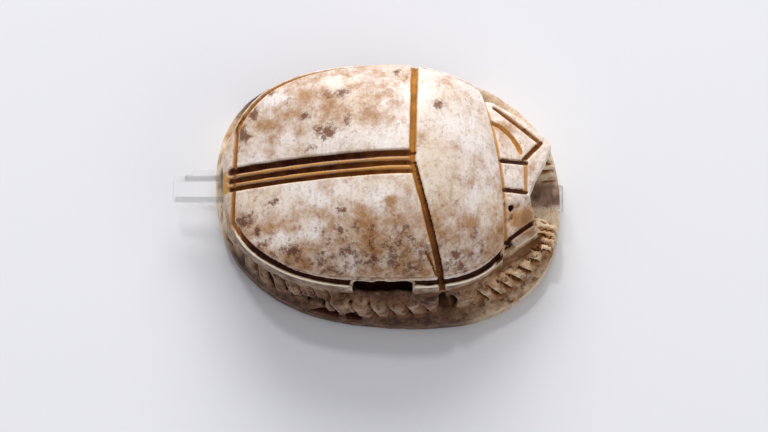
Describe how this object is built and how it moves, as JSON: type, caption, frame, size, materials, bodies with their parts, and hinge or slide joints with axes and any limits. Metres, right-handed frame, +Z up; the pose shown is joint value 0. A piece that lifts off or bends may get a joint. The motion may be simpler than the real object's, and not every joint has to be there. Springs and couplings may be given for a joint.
{
  "type": "scarab amulet",
  "caption": "Small carved stone scarab beetle with a worn pale glaze, bored from head to tail, shown on a clear rod that runs through the bore.",
  "frame": {"origin": "middle of the scarab's flat underside", "axes": "+X towards the beetle's head, +Y towards its left side, +Z up from the plate to the back"},
  "size_m": [0.0205, 0.014, 0.0081],
  "materials": {
    "glazed_steatite": "worn cream glaze on soft stone, brown dirt in the carved lines, tan stains",
    "clear_acrylic": "polished clear acrylic with cut edges"
  },
  "bodies": {
    "root": {"scarab": "glazed_steatite", "mount_rod": "clear_acrylic"}
  },
  "joints": []
}
